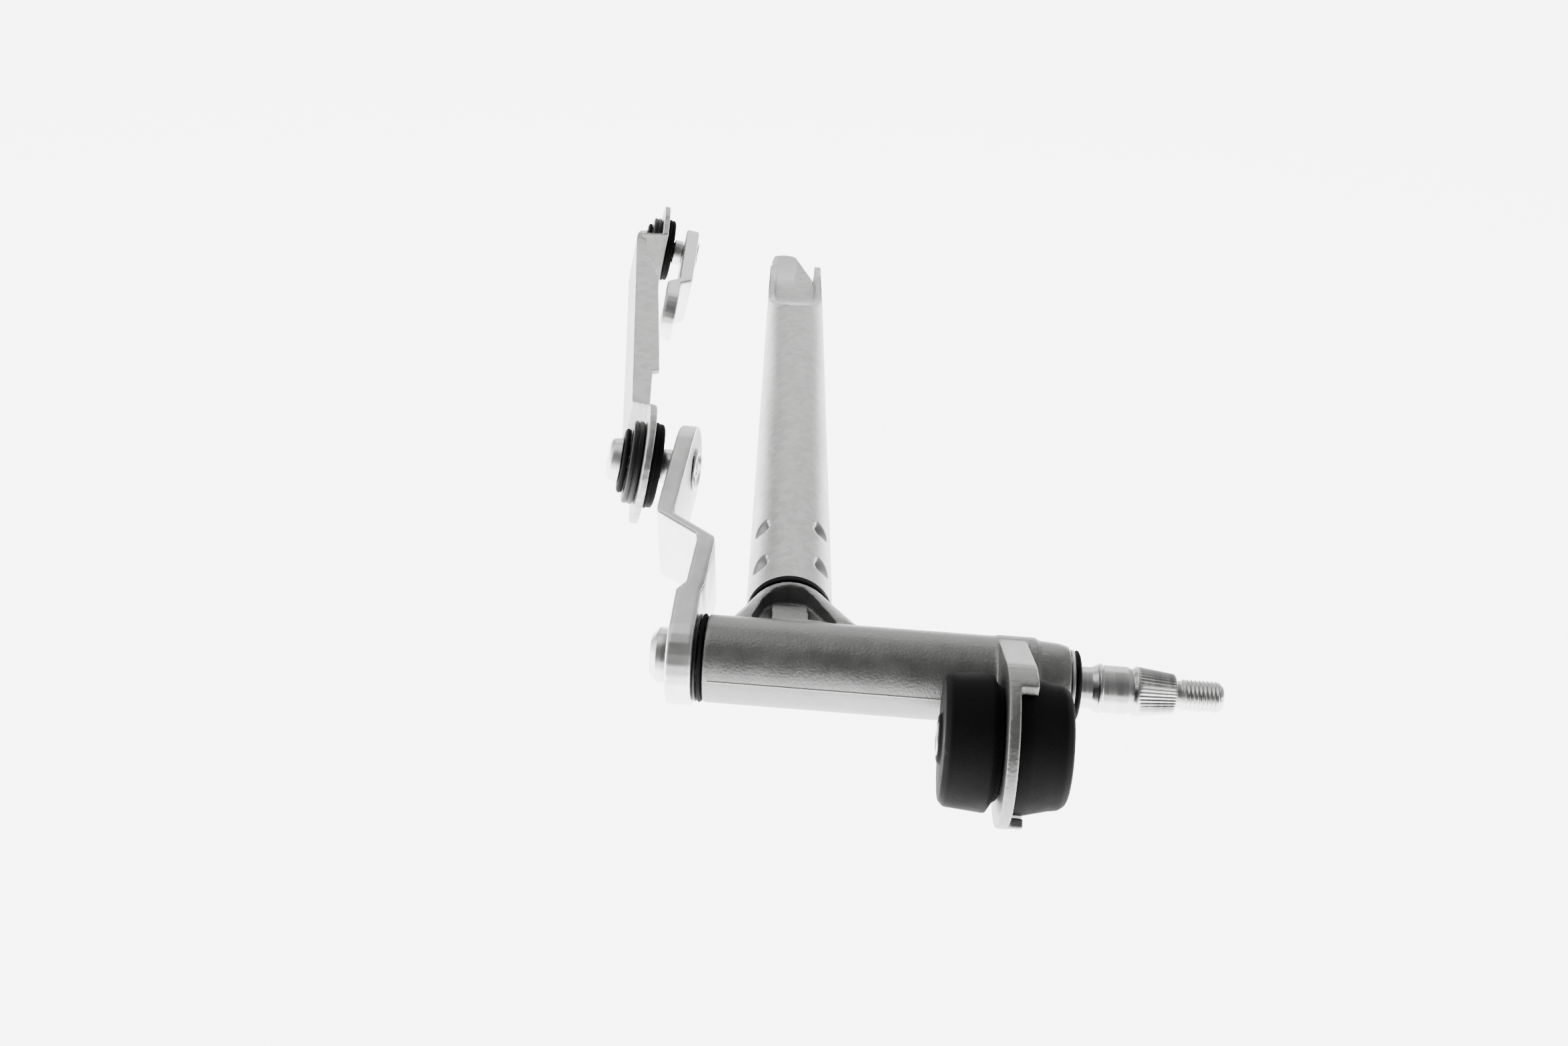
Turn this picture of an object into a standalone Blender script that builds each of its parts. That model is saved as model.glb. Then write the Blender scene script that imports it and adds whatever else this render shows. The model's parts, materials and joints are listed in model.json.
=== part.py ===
"""Windshield wiper pivot and linkage: a cast pivot housing on a crimped frame tube, a spindle with
its crank lever, a pressed link rod with two ball joints, and the motor crank.

The assembly is drawn around its spindle: in the drawing frame Z runs out of the spindle's threaded
end, X along the frame tube, and the origin is the centre of that threaded end. An empty then lays
the assembly level, with the spindle along world +X, the tube along +Y and +Z up. Lengths are in
metres, and a comment's X, Y and Z are the drawing frame's."""

import math

import bmesh
import bpy
from mathutils import Matrix, Vector

MM = 0.001
TURN = 2 * math.pi
GAP = 0.3 * MM  # between pieces that touch on the real assembly
SEGMENTS = 32  # round one turned piece

# Spindle, by height along Z from the threaded end
THREAD_RADIUS = 3.95 * MM
THREAD_LENGTH = 11.2 * MM
SEAT_SMALL_RADIUS = 4.9 * MM
SEAT_LARGE_RADIUS = 6.1 * MM
SEAT_END_Z = -21.4 * MM
JOURNAL_RADIUS = 6.0 * MM
BEAD_Z = -30.4 * MM
NECK_RADIUS = 5.2 * MM
RING_GROOVE_Z = (-38.2 * MM, -36.8 * MM)
RING_GROOVE_RADIUS = 5.2 * MM
SHOULDER_Z = -130.4 * MM
RIVET_SEAT_RADIUS = 4.8 * MM
HEAD_TOP_Z = -137.5 * MM
HEAD_RADIUS = 7.05 * MM
SPINDLE_END_Z = -141.9 * MM

# Pivot housing
BARREL_RADIUS = 11.05 * MM
BARREL_REAR_Z = -128.2 * MM
COLLAR_FRONT_Z = -46.0 * MM
NOSE_Z = -38.2 * MM
NOSE_RADIUS = 9.7 * MM
BORE_RADIUS = 7.9 * MM
BUSH_RADII = (6.12 * MM, 7.6 * MM)
BUSH_LENGTH = 18.0 * MM
FRONT_BUSH_END_Z = -40.0 * MM
TUBE_Z = -107.5 * MM  # where the tube's axis meets the spindle's
TUBE_LEAN = math.radians(3.7)  # the tube leans this far towards -Z

# Frame tube, by distance along its own axis from the spindle's axis
TUBE_RADIUS = 11.5 * MM
TUBE_WALL = 1.5 * MM
TUBE_START = 25.5 * MM
SEAL_START = 23.3 * MM
CREASE_AT = 251.5 * MM
PRESSED_AT = 335.0 * MM
TONGUE_END = 388.0 * MM
TONGUE_RADIUS = 5.5 * MM
TONGUE_SIDE = 4.8 * MM  # of its tip from the tube's axis, towards -Z
LIP_END = 347.0 * MM
LIP_TOP = -1.3 * MM  # over the tube's axis
CRIMP_ROWS = (36.6 * MM, 58.3 * MM)
CRIMP_ANGLES = (50, 130, 230, 310)  # degrees from the tube's +Z side
CRIMP_SPREAD = 17  # degrees to each side
CRIMP_REACH = 3.6 * MM
CRIMP_DEPTH = 1.3 * MM
SPIGOT_RADIUS = 9.6 * MM
SPIGOT_END = 66.0 * MM
SHOULDER_RADIUS = 11.2 * MM
NECK_TOP = 22.9 * MM
NECK_FLARE = (0.60, 0.77)  # sideways growth per length towards the barrel, on the -Z and +Z sides
LEDGE_HALF_WIDTH = 4.8 * MM

# Lug and grommet
LUG_X = -27.8 * MM
LUG_RADIUS = 19.5 * MM
LUG_WALL = 2.6 * MM
LUG_Z = (-56.0 * MM, -53.3 * MM)
RIM_TOP_Z = -49.2 * MM
RIM_END_X = -32.2 * MM
FOOT_ANGLES = (226, 242)  # degrees
LUG_HOLE_RADIUS = 12.0 * MM
GROMMET_RADIUS = 16.3 * MM
GROMMET_Z = (-69.7 * MM, -40.7 * MM)
GROMMET_NECK_RADIUS = 11.6 * MM
SLEEVE_RADII = (3.05 * MM, 3.95 * MM)
SLEEVE_Z = (-70.9 * MM, -39.6 * MM)

# Crank lever
LEVER_ANGLE = math.radians(18.3)
LEVER_LENGTH = 69.4 * MM
LEVER_HALF_WIDTH = 12.2 * MM
BOSS_Z = -133.95 * MM
BOSS_THICKNESS = 6.5 * MM
ARM_THICKNESS = 5.0 * MM
ARM_SLOPE = math.tan(math.radians(2.7))
ARM_RISE = 0.75 * MM  # of the arm's middle above the boss's, at the spindle
JOGGLE = (30.6 * MM, 40.1 * MM)
JOGGLE_DROP = 12.5 * MM

# Link rod, in a frame whose Z is square to its eyes and whose origin is the near ball
NEAR_BALL = Vector((67.0, 21.6, -154.9)) * MM
ROD_NORMAL = Vector((0.153, -0.181, 0.972))
ROD_AIM = Vector((0.991, 0.007, -0.135))
ROD_REACH = 212.2 * MM
FAR_STEP = 6.2 * MM  # height of the far eye over the near one
SHEET = 2.0 * MM
WEB_FLOOR = -5.0 * MM
FLANGE_HEIGHT = 8.4 * MM
CHANNEL_HALF_WIDTH = 9.0 * MM
EYE_RADIUS = 17.2 * MM
EYE_HOLE_RADIUS = 8.3 * MM

# Ball joints, by height over the eye's middle plane
BALL_RADIUS = 4.6 * MM
STUD_NECK_RADIUS = 3.6 * MM
SOCKET_RADIUS = 11.9 * MM
COLLAR_RADIUS = 9.2 * MM
CAP_RADIUS = 6.4 * MM
CAP_HEIGHT = 3.4 * MM
SEAL_RADIUS = 12.35 * MM

# Motor crank
CRANK_ANGLE = math.radians(193)
CRANK_LENGTH = 47.0 * MM
CRANK_HALF_WIDTH = 10.0 * MM
CRANK_THICKNESS = 5.2 * MM
CRANK_OVER = 11.6 * MM  # of the plate's middle over the ball
CRANK_DROP = 4.2 * MM
CRANK_NORMAL = Vector((0.10, -0.19, 0.976))
SHAFT_HOLE_RADIUS = 4.3 * MM

DRAWING_TO_WORLD = Matrix(((0, 0, 1, 0), (1, 0, 0, 0), (0, 1, 0, 0), (0, 0, 0, 1)))

MATERIALS = {
    "cast_aluminium": ((0.40, 0.40, 0.40), 0.55, 0.9),
    "galvanised_steel": ((0.62, 0.62, 0.61), 0.42, 1.0),
    "zinc_plated_steel": ((0.80, 0.80, 0.78), 0.30, 1.0),
    "bright_steel": ((0.72, 0.72, 0.72), 0.24, 1.0),
    "black_rubber": ((0.020, 0.020, 0.021), 0.75, 0.0),
    "black_plastic": ((0.030, 0.030, 0.031), 0.45, 0.0),
    "sintered_bronze": ((0.55, 0.38, 0.22), 0.50, 1.0),
}


def clear_scene():
    for obj in list(bpy.data.objects):
        bpy.data.objects.remove(obj, do_unlink=True)


def material(name):
    """The named Principled material, made once."""
    found = bpy.data.materials.get(name)
    if found:
        return found
    colour, roughness, metallic = MATERIALS[name]
    made = bpy.data.materials.new(name)
    made.use_nodes = True
    shader = made.node_tree.nodes["Principled BSDF"]
    shader.inputs["Base Color"].default_value = (*colour, 1)
    shader.inputs["Roughness"].default_value = roughness
    shader.inputs["Metallic"].default_value = metallic
    return made


def add(name, bm, finish, parent=None, place=None):
    """A named object from a bmesh, placed in its parent's frame, or in the drawing frame."""
    bmesh.ops.recalc_face_normals(bm, faces=bm.faces)
    if bm.calc_volume(signed=True) < 0:
        bmesh.ops.reverse_faces(bm, faces=bm.faces)
    mesh = bpy.data.meshes.new(name)
    bm.to_mesh(mesh)
    bm.free()
    mesh.shade_smooth()
    mesh.set_sharp_from_angle(angle=math.radians(35))
    mesh.materials.append(material(finish))
    obj = bpy.data.objects.new(name, mesh)
    bpy.context.scene.collection.objects.link(obj)
    obj.parent = parent or bpy.data.objects["assembly"]
    obj.matrix_basis = place or Matrix.Identity(4)
    return obj


def empty(name, place, parent=None):
    """A frame that pieces are parented to: the drawing frame, or a joint's frame in it."""
    obj = bpy.data.objects.new(name, None)
    bpy.context.scene.collection.objects.link(obj)
    obj.parent = parent
    obj.matrix_basis = place
    return obj


def combine(obj, operation, name, bm, parent=None, place=None):
    """Joins a hidden helper to an object, or cuts or trims the object with it."""
    helper = add(name, bm, "cast_aluminium", parent, place)
    helper.hide_render = True
    helper.display_type = "WIRE"
    step = obj.modifiers.new(name, "BOOLEAN")
    step.operation = operation
    step.solver = "EXACT"
    step.object = helper


def soften(obj, width):
    """Bevels the sharp edges of an object."""
    step = obj.modifiers.new("soften", "BEVEL")
    step.width = width
    step.segments = 1
    step.limit_method = "ANGLE"
    step.angle_limit = math.radians(50)


def frame_from(origin, normal, aim):
    """The frame at origin whose Z is normal and whose X is nearest to aim."""
    z = normal.normalized()
    x = (aim - z * aim.dot(z)).normalized()
    y = z.cross(x)
    turn = Matrix((x, y, z)).transposed()
    return Matrix.Translation(origin) @ turn.to_4x4()


def turned(profile, segments=SEGMENTS):
    """A profile of (radius, height) points turned about Z. One that starts and ends on the axis
    is solid, and any other closes on itself as a ring."""
    bm = bmesh.new()
    rows = []
    for radius, height in profile:
        if radius == 0:
            rows.append([bm.verts.new((0, 0, height))])
            continue
        circle = [TURN * i / segments for i in range(segments)]
        points = [(radius * math.cos(a), radius * math.sin(a), height) for a in circle]
        rows.append([bm.verts.new(point) for point in points])
    pairs = list(zip(rows, rows[1:]))
    if profile[0][0] > 0:
        pairs.append((rows[-1], rows[0]))
    for low, high in pairs:
        for i in range(segments):
            j = (i + 1) % segments
            if len(low) == 1:
                bm.faces.new((low[0], high[j], high[i]))
            elif len(high) == 1:
                bm.faces.new((low[i], low[j], high[0]))
            else:
                bm.faces.new((low[i], low[j], high[j], high[i]))
    return bm


def ring(inner, outer, low, high, chamfer=0.0, segments=SEGMENTS):
    """A plain ring about Z, with its outer edges chamfered."""
    profile = [(inner, low), (outer, low), (outer, high), (inner, high)]
    if chamfer:
        profile = [(inner, low), (outer - chamfer, low), (outer, low + chamfer)]
        profile += [(outer, high - chamfer), (outer - chamfer, high), (inner, high)]
    return turned(profile, segments)


def rod_bar(radius, low, high, segments=SEGMENTS):
    """A plain solid cylinder about Z."""
    return turned([(0, low), (radius, low), (radius, high), (0, high)], segments)


def prism(outline, low, high):
    """A flat outline in XY, extruded from low to high."""
    bm = bmesh.new()
    floor = [bm.verts.new((x, y, low)) for x, y in outline]
    roof = [bm.verts.new((x, y, high)) for x, y in outline]
    bm.faces.new(floor)
    bm.faces.new(roof)
    for i in range(len(outline)):
        j = (i + 1) % len(outline)
        bm.faces.new((floor[i], floor[j], roof[j], roof[i]))
    return bm


def arc(centre, radius, start, end, steps):
    """Points along an arc, with its angles in degrees."""
    angles = [math.radians(start + (end - start) * i / steps) for i in range(steps + 1)]
    return [(centre[0] + radius * math.cos(a), centre[1] + radius * math.sin(a)) for a in angles]


def wrapped(points):
    """The convex outline around the points, anticlockwise."""
    ordered = sorted(set(points))
    halves = []
    for row in (ordered, ordered[::-1]):
        half = []
        for x, y in row:
            while len(half) > 1:
                (ax, ay), (bx, by) = half[-2:]
                if (bx - ax) * (y - ay) - (by - ay) * (x - ax) > 0:
                    break
                half.pop()
            half.append((x, y))
        halves.append(half[:-1])
    return halves[0] + halves[1]


def stadium(length, half_width, steps=14):
    """The outline of a bar with round ends, centred on (0, 0) and (length, 0)."""
    return arc((0, 0), half_width, 90, 270, steps) + arc((length, 0), half_width, -90, 90, steps)


def strip(middle, thickness):
    """The outline of a bent strip, from (distance, height, thickness scale) points of its middle."""
    floor = [(x, y - thickness * k / 2) for x, y, k in middle]
    roof = [(x, y + thickness * k / 2) for x, y, k in middle]
    return floor + roof[::-1]


def on_side(bm):
    """Turns a prism made in XY so that its outline lies in XZ, centred across Y."""
    bmesh.ops.rotate(bm, verts=bm.verts, cent=(0, 0, 0), matrix=Matrix.Rotation(math.pi / 2, 3, "X"))
    return bm


TUBE_FRAME = (
    Matrix.Translation((0, 0, TUBE_Z))
    @ Matrix.Rotation(math.pi / 2 + TUBE_LEAN, 4, "Y")
    @ Matrix.Rotation(math.pi, 4, "Z")
)  # its Z runs along the tube and its X towards the spindle's threaded end


def pivot_housing():
    """The casting: barrel, lug with its rim and foot, ribbed neck and spigot."""
    collar = BARREL_RADIUS + 0.35 * MM
    profile = [
        (0, BARREL_REAR_Z),
        (BARREL_RADIUS - 0.4 * MM, BARREL_REAR_Z),
        (BARREL_RADIUS, BARREL_REAR_Z + 0.4 * MM),
        (BARREL_RADIUS, LUG_Z[0] - 0.6 * MM),
        (collar, LUG_Z[0]),
        (collar, COLLAR_FRONT_Z - 0.6 * MM),
        (BARREL_RADIUS - 0.3 * MM, COLLAR_FRONT_Z),
        (NOSE_RADIUS + 0.6 * MM, NOSE_Z - 2.2 * MM),
        (NOSE_RADIUS, NOSE_Z),
        (0, NOSE_Z),
    ]
    body = add("pivot_housing", turned(profile, 40), "cast_aluminium")
    barrel = arc((0, 0), BARREL_RADIUS, 0, 360, 40)
    lug = wrapped(barrel + arc((LUG_X, 0), LUG_RADIUS, 0, 360, 48))
    combine(body, "UNION", "lug", prism(lug, LUG_Z[0], RIM_TOP_Z))
    open_side = [(-60 * MM, -30 * MM), (RIM_END_X, -30 * MM)]
    open_side += [(RIM_END_X, 30 * MM), (-60 * MM, 30 * MM)]
    combine(body, "DIFFERENCE", "rim_end", prism(open_side, LUG_Z[1], -30 * MM))
    combine(body, "UNION", "lug_foot", lug_foot())
    combine(body, "UNION", "neck", neck(), place=TUBE_FRAME)
    combine(body, "UNION", "spigot", spigot(), place=TUBE_FRAME)
    for side in (1, -1):
        combine(body, "DIFFERENCE", f"pocket_{side}", neck_pocket(side), place=TUBE_FRAME)
    combine(body, "UNION", "ledge", neck_ledge(), place=TUBE_FRAME)
    lug_centre = Matrix.Translation((LUG_X, 0, 0))
    hole = rod_bar(LUG_HOLE_RADIUS, -60 * MM, -45 * MM, 40)
    combine(body, "DIFFERENCE", "lug_hole", hole, place=lug_centre)
    clearance = rod_bar(LUG_RADIUS - LUG_WALL, LUG_Z[1], -30 * MM, 40)
    combine(body, "DIFFERENCE", "rim_room", clearance, place=lug_centre)
    combine(body, "DIFFERENCE", "bore", rod_bar(BORE_RADIUS, -140 * MM, -30 * MM))


def lug_foot():
    """A short piece of rim on the far side of the lug."""
    inside = LUG_RADIUS - LUG_WALL - 0.5 * MM
    outside = LUG_RADIUS - 0.2 * MM
    outline = arc((LUG_X, 0), outside, *FOOT_ANGLES, 4)
    outline += arc((LUG_X, 0), inside, *FOOT_ANGLES[::-1], 4)
    return prism(outline, LUG_Z[0] + 0.4 * MM, RIM_TOP_Z - 0.8 * MM)


def neck():
    """The neck that flares from the spigot's shoulder to the barrel, in the tube's frame."""
    bm = bmesh.new()
    rows = []
    for at in (NECK_TOP, 19 * MM, 14 * MM, 9 * MM, 3 * MM):
        left = SHOULDER_RADIUS + NECK_FLARE[0] * (NECK_TOP - max(at, 9 * MM))
        right = SHOULDER_RADIUS + NECK_FLARE[1] * (NECK_TOP - max(at, 9 * MM))
        height = SHOULDER_RADIUS - 0.06 * (NECK_TOP - at)
        row = []
        for x, y in arc((0, 0), 1, 0, 360 - 360 / SEGMENTS, SEGMENTS - 1):
            row.append(bm.verts.new(((right - left) / 2 + (left + right) / 2 * x, height * y, at)))
        rows.append(row)
    for first, second in zip(rows, rows[1:]):
        for i in range(SEGMENTS):
            j = (i + 1) % SEGMENTS
            bm.faces.new((first[i], first[j], second[j], second[i]))
    bm.faces.new(rows[0])
    bm.faces.new(rows[-1])
    return bm


def neck_pocket(side):
    """The arched lightening pocket on one face of the neck, in the tube's frame."""
    outline = [(-10.5 * MM, 6 * MM), (12.6 * MM, 6 * MM), (9.4 * MM, 12 * MM), (6.2 * MM, 18 * MM)]
    outline += [(3.8 * MM, 20.8 * MM), (0, 21.5 * MM)]
    outline += [(-4.2 * MM, 20.8 * MM), (-7.0 * MM, 17.5 * MM)]
    low, high = sorted((side * 5.2 * MM, side * 14 * MM))
    return on_side(prism(outline, low, high))


def neck_ledge():
    """The raised middle of both pockets' floors, in the tube's frame."""
    half = LEDGE_HALF_WIDTH
    outline = [(-half, 5 * MM), (half, 5 * MM), (half, 17.5 * MM), (-half, 17.5 * MM)]
    return on_side(prism(outline, -7.2 * MM, 7.2 * MM))


def spigot():
    """The shoulder and the grooved spigot that the tube is crimped to, in the tube's frame."""
    radius = SHOULDER_RADIUS - 0.3 * MM
    start = NECK_TOP - 0.6 * MM
    profile = [(0, start), (radius, start), (radius, SEAL_START), (SPIGOT_RADIUS, SEAL_START)]
    waist = SPIGOT_RADIUS - CRIMP_DEPTH - 0.4 * MM
    for row in CRIMP_ROWS:
        profile += [(SPIGOT_RADIUS, row - 5.4 * MM), (waist, row - 4.4 * MM)]
        profile += [(waist, row + 4.4 * MM), (SPIGOT_RADIUS, row + 5.4 * MM)]
    profile += [(SPIGOT_RADIUS - 1 * MM, SPIGOT_END), (0, SPIGOT_END)]
    return turned(profile)


def crimp_depth(at, angle):
    """How far the crimps press the tube in, at a distance along it and an angle in degrees."""
    for row in CRIMP_ROWS:
        for crimp in CRIMP_ANGLES:
            apart = (angle - crimp + 180) % 360 - 180
            if abs(apart) < CRIMP_SPREAD and abs(at - row) < CRIMP_REACH:
                fade = (1 - abs(at - row) / CRIMP_REACH) * (1 - abs(apart) / CRIMP_SPREAD)
                return CRIMP_DEPTH * fade
    return 0.0


def squared(angle, radius):
    """A point of a round-cornered square outline, at an angle of the circle inside it."""
    x, y = math.cos(angle), math.sin(angle)
    return radius * math.copysign(abs(x) ** 0.45, x), radius * math.copysign(abs(y) ** 0.45, y)


def channel_inside(angle):
    """A point of the pressed channel's lips and floor, for an angle on the tube's upper half."""
    lean = abs(math.sin(angle))
    side = math.copysign(1, math.cos(angle)) if abs(math.cos(angle)) > 1e-6 else 0
    half = TUBE_RADIUS - 2 * TUBE_WALL
    if lean < 0.1:
        return side * TUBE_RADIUS, -LIP_TOP + 0.5 * MM
    if lean < 0.3:
        return side * (TUBE_RADIUS - 0.6 * MM), -LIP_TOP
    first = math.asin(0.38)
    wall = half + LIP_TOP
    along = (math.asin(lean) - first) / (math.pi / 2 - first) * (half + wall)
    if along < wall:
        return side * half, -LIP_TOP + max(0.0, along)
    return side * (half - (along - wall)), half


def tube_section(at, inset):
    """The tube's outline at one distance along it: round, dimpled at the crimps, and, past its
    crease, with the upper wall pressed down into the lower one. Its points start on +Z."""
    pressed = min(1.0, max(0.0, (at - CREASE_AT) / (PRESSED_AT - CREASE_AT)))
    roof = TUBE_RADIUS - pressed * 2 * (TUBE_RADIUS - TUBE_WALL)
    points = []
    for i in range(SEGMENTS):
        angle = TURN * i / SEGMENTS
        radius = TUBE_RADIUS - inset - crimp_depth(at, math.degrees(angle))
        x, y = radius * math.cos(angle), radius * math.sin(angle)
        if math.sin(angle) > 1e-6:
            weight = pressed
            end_x, end_y = squared(angle, TUBE_RADIUS)
        else:
            weight = pressed * pressed
            end_x, end_y = channel_inside(angle)
            y = max(y, -roof) if pressed else y
        points.append((x + (end_x - x) * weight, y + (end_y - y) * weight))
    return points


def frame_tube():
    """The tube, crimped at one end, and pressed into a channel with a tongue at the other."""
    outside = [TUBE_START]
    for row in CRIMP_ROWS:
        outside += [row + CRIMP_REACH * i / 2 for i in (-2, -1, 0, 1, 2)]
    outside += [150 * MM, CREASE_AT]
    outside += [CREASE_AT + (PRESSED_AT - CREASE_AT) * i / 4 for i in range(1, 5)]
    outside += [TONGUE_END + 5 * MM]
    inside = [at for at in outside if at <= CREASE_AT]
    bm = bmesh.new()
    rows = []
    for stations, inset in ((outside, 0.0), (inside, TUBE_WALL)):
        rings = [[(x, y, at) for x, y in tube_section(at, inset)] for at in stations]
        rows.append([[bm.verts.new(point) for point in section] for section in rings])
    outer, inner = rows
    chain = outer[::-1] + inner
    for first, second in zip(chain, chain[1:]):
        for i in range(SEGMENTS):
            j = (i + 1) % SEGMENTS
            bm.faces.new((first[i], first[j], second[j], second[i]))
    bm.faces.new(outer[-1])
    bm.faces.new(inner[-1])
    tube = add("frame_tube", bm, "galvanised_steel", place=TUBE_FRAME)
    combine(tube, "DIFFERENCE", "end_cut", end_cut(), place=TUBE_FRAME)
    combine(tube, "DIFFERENCE", "lip_cut", lip_cut(), place=TUBE_FRAME)


def end_cut():
    """What is trimmed off the pressed end, outside its rounded tongue, in the tube's frame."""
    tip = (-TONGUE_SIDE, TONGUE_END - TONGUE_RADIUS)
    lip = TUBE_RADIUS - 2 * TUBE_WALL
    outline = [(14 * MM, LIP_END), (lip, LIP_END)] + arc(tip, TONGUE_RADIUS, 25, 165, 8)
    outline += [(-11 * MM, 374 * MM), (-14 * MM, 365 * MM)]
    outline += [(-14 * MM, TONGUE_END + 20 * MM), (14 * MM, TONGUE_END + 20 * MM)]
    return on_side(prism(outline, -20 * MM, 20 * MM))


def lip_cut():
    """What is trimmed off the top of the pressed end's other lip, in the tube's frame."""
    end = TONGUE_END + 9 * MM
    outline = [(-14 * MM, LIP_END), (0, LIP_END), (0, end), (-14 * MM, end)]
    return on_side(prism(outline, -6.8 * MM, 20 * MM))


def housing_fittings():
    """Seals, bushes, grommet and sleeve that stay with the housing."""
    outer = TUBE_RADIUS - 0.1 * MM
    seal = ring(SPIGOT_RADIUS + GAP, outer, SEAL_START + GAP, TUBE_START - GAP)
    add("spigot_seal", seal, "black_rubber", place=TUBE_FRAME)
    rear = BARREL_REAR_Z + 0.5 * MM
    front = FRONT_BUSH_END_Z
    add("rear_bush", ring(*BUSH_RADII, rear, rear + BUSH_LENGTH), "sintered_bronze")
    add("front_bush", ring(*BUSH_RADII, front - BUSH_LENGTH, front), "sintered_bronze")
    seal = ring(6.3 * MM, 11.2 * MM, -129.5 * MM, BARREL_REAR_Z - GAP, 0.3 * MM)
    add("rear_seal", seal, "black_rubber")
    washer = ring(6.3 * MM, BUSH_RADII[1], front + GAP, front + 1.2 * MM, 0.2 * MM, 24)
    add("front_washer", washer, "bright_steel")
    mount_grommet()


def mount_grommet():
    """The rubber bush in the lug and the steel sleeve through it."""
    hole = SLEEVE_RADII[1] + GAP
    low, high = GROMMET_Z
    groove = (LUG_Z[0] - GAP, LUG_Z[1] + GAP)
    profile = [
        (hole, low),
        (GROMMET_RADIUS - 2.1 * MM, low),
        (GROMMET_RADIUS - 0.8 * MM, low + 1.3 * MM),
        (GROMMET_RADIUS, groove[0] - 2.6 * MM),
        (GROMMET_RADIUS - 2.6 * MM, groove[0] - 1.0 * MM),
        (GROMMET_NECK_RADIUS + 1.6 * MM, groove[0]),
        (GROMMET_NECK_RADIUS, groove[0]),
        (GROMMET_NECK_RADIUS, groove[1]),
        (GROMMET_RADIUS - 1.0 * MM, groove[1]),
        (GROMMET_RADIUS - 2.0 * MM, high - 3.6 * MM),
        (GROMMET_RADIUS - 2.5 * MM, high - 1.7 * MM),
        (GROMMET_RADIUS - 3.6 * MM, high - 0.5 * MM),
        (GROMMET_RADIUS - 4.8 * MM, high),
        (hole, high),
    ]
    centre = Matrix.Translation((LUG_X, 0, 0))
    add("mount_grommet", turned(profile, 40), "black_rubber", place=centre)
    inner, outer = SLEEVE_RADII
    low, high = SLEEVE_Z
    bevel = 0.4 * MM
    sleeve = [(inner, low), (outer - bevel, low), (outer, low + bevel)]
    sleeve += [(outer, high - bevel), (outer - bevel, high), (inner, high)]
    add("grommet_sleeve", turned(sleeve, 28), "zinc_plated_steel", place=centre)


def spindle(axis):
    """The spindle with its thread, conical seat, ring groove and riveted head."""
    groove_low, groove_high = RING_GROOVE_Z
    profile = [
        (0, SPINDLE_END_Z),
        (HEAD_RADIUS - 1.9 * MM, SPINDLE_END_Z),
        (HEAD_RADIUS, SPINDLE_END_Z + 1.9 * MM),
        (HEAD_RADIUS, HEAD_TOP_Z),
        (RIVET_SEAT_RADIUS, HEAD_TOP_Z),
        (RIVET_SEAT_RADIUS, SHOULDER_Z),
        (JOURNAL_RADIUS, SHOULDER_Z),
        (JOURNAL_RADIUS, groove_low),
        (RING_GROOVE_RADIUS, groove_low),
        (RING_GROOVE_RADIUS, groove_high),
        (NECK_RADIUS, groove_high + 0.1 * MM),
        (NECK_RADIUS, BEAD_Z - 1.9 * MM),
        (JOURNAL_RADIUS + 0.25 * MM, BEAD_Z - 0.2 * MM),
        (JOURNAL_RADIUS + 0.25 * MM, BEAD_Z + 0.2 * MM),
        (JOURNAL_RADIUS, BEAD_Z + 0.5 * MM),
        (JOURNAL_RADIUS, SEAT_END_Z - 2.2 * MM),
        (JOURNAL_RADIUS - 0.5 * MM, SEAT_END_Z - 0.9 * MM),
        (SEAT_LARGE_RADIUS, SEAT_END_Z),
        (SEAT_SMALL_RADIUS, -THREAD_LENGTH - 0.8 * MM),
        (SEAT_SMALL_RADIUS - 0.7 * MM, -THREAD_LENGTH - 0.2 * MM),
        (THREAD_RADIUS - 0.5 * MM, -THREAD_LENGTH),
        (THREAD_RADIUS - 0.5 * MM, -THREAD_LENGTH + 0.9 * MM),
        (THREAD_RADIUS, -THREAD_LENGTH + 1.3 * MM),
        (THREAD_RADIUS, -1.3 * MM),
        (THREAD_RADIUS - 1.2 * MM, 0),
        (0, 0),
    ]
    add("spindle_shaft", turned(profile), "bright_steel", axis)
    clip = ring(RING_GROOVE_RADIUS + GAP, 9.3 * MM, groove_low + GAP, groove_high - GAP)
    add("retaining_ring", clip, "zinc_plated_steel", axis)
    low = groove_high + GAP
    cap = [(NECK_RADIUS + GAP, low), (9.0 * MM, low), (8.8 * MM, low + 0.6 * MM)]
    cap += [(7.6 * MM, low + 1.2 * MM), (NECK_RADIUS + GAP, low + 1.2 * MM)]
    add("front_seal", turned(cap), "black_rubber", axis)
    washer = ring(6.3 * MM, 11.0 * MM, SHOULDER_Z, -129.8 * MM, 0.2 * MM)
    add("rear_washer", washer, "black_plastic", axis)


def smooth(value):
    """An eased step, from 0 to 1."""
    value = min(1.0, max(0.0, value))
    return value * value * (3 - 2 * value)


def lever_height(distance):
    """Height of the arm's middle over the boss's middle, past the spindle."""
    drop = JOGGLE_DROP * smooth((distance - JOGGLE[0]) / (JOGGLE[1] - JOGGLE[0]))
    return ARM_RISE + ARM_SLOPE * distance - drop


def lever_place():
    """The crank lever's frame on the spindle: X along the lever, from its boss's middle."""
    return Matrix.Rotation(LEVER_ANGLE, 4, "Z") @ Matrix.Translation((0, 0, BOSS_Z))


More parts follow.
